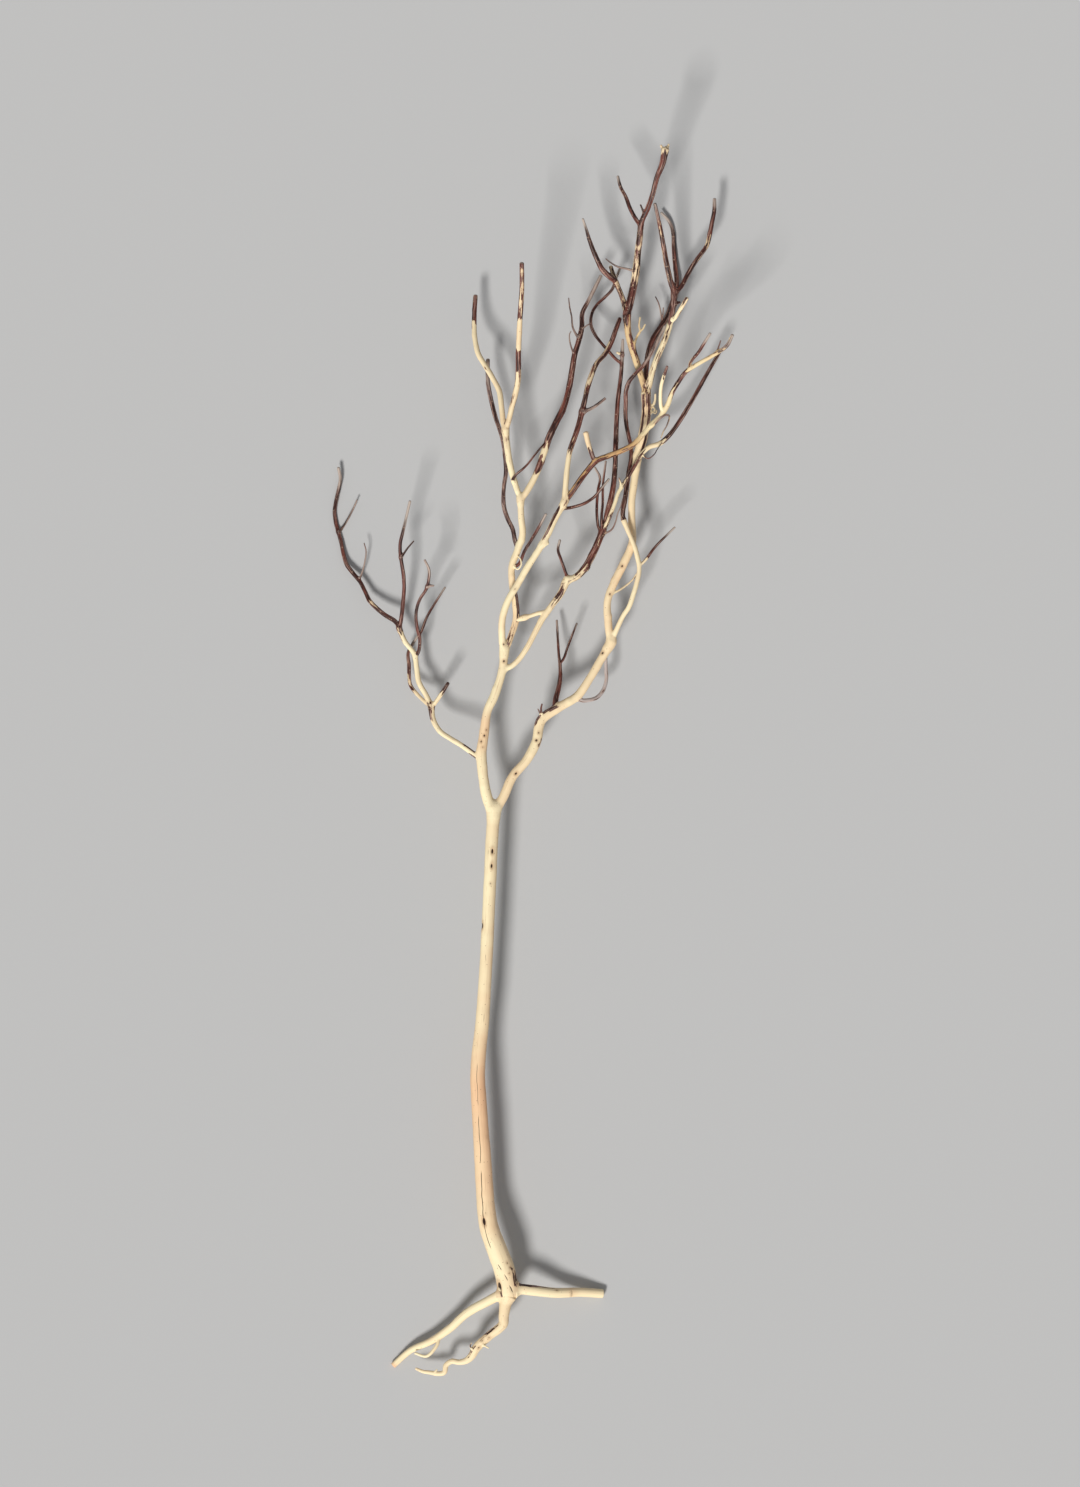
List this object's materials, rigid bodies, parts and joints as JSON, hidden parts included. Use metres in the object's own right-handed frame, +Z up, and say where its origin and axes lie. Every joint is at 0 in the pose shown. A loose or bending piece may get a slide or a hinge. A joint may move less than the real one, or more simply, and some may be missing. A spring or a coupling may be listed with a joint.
{
  "type": "fallen tree branch",
  "caption": "Stripped, dried tree branch with spreading roots and dark-barked twigs, lying on the floor.",
  "frame": {"origin": "middle of the bounding box, at the floor that the branch lies on", "axes": "+Y along the stem from the roots towards the twig tips, +X across it, +Z up from the floor"},
  "size_m": [0.4012, 1.2286, 0.1291],
  "materials": {
    "stripped": "dry barkless wood, cream to tan, satin",
    "tan": "golden brown inner bark, dull",
    "bark": "thin dark red-brown bark, flaking, dull",
    "weathered": "grey weathered twig wood, dull"
  },
  "bodies": {
    "root": {"trunk": "stripped", "middle_root": "stripped", "right_root": "stripped", "left_root": "stripped", "left_rootlet": "stripped", "centre_limb": "stripped", "front_limb": "stripped", "front_long_shoot": "bark", "front_crossing_shoot": "tan", "crossing_upright_twig": "stripped", "crossing_tip_twig": "bark", "crossing_stub": "stripped", "front_side_twig": "bark", "rear_limb": "stripped", "rear_fork": "stripped", "rear_left_shoot": "bark", "rear_right_shoot": "bark", "rear_under_shoot": "weathered", "rear_slim_shoot": "bark", "rear_straight_shoot": "bark", "left_limb": "stripped", "left_shoot": "stripped", "left_outer_leader": "bark", "left_inner_leader": "bark", "left_fork_shoot": "bark", "left_fork_twig": "bark", "left_under_shoot": "bark", "left_spur": "stripped", "mid_limb": "stripped", "bridge_twig": "stripped", "mid_elbow": "bark", "mid_curled_twig": "bark", "mid_slender_shoot": "stripped", "mid_dark_shoot": "bark", "mid_dark_curl": "bark", "mid_left_strand": "bark", "mid_right_strand": "bark", "right_limb": "stripped", "hanging_shoot": "bark", "hanging_tine": "bark", "loop_twig": "weathered", "upper_limb": "stripped", "wandering_shoot": "stripped", "wandering_twig": "bark", "wandering_dark_shoot": "bark", "top_shoot": "stripped", "top_left_leader": "bark", "top_right_leader": "bark", "top_side_twig": "stripped", "left_top_shoot": "tan", "tall_leader": "bark", "tall_leader_twig": "bark", "short_leader": "bark", "short_leader_fork": "bark", "rear_top_shoot": "bark"}
  },
  "joints": []
}
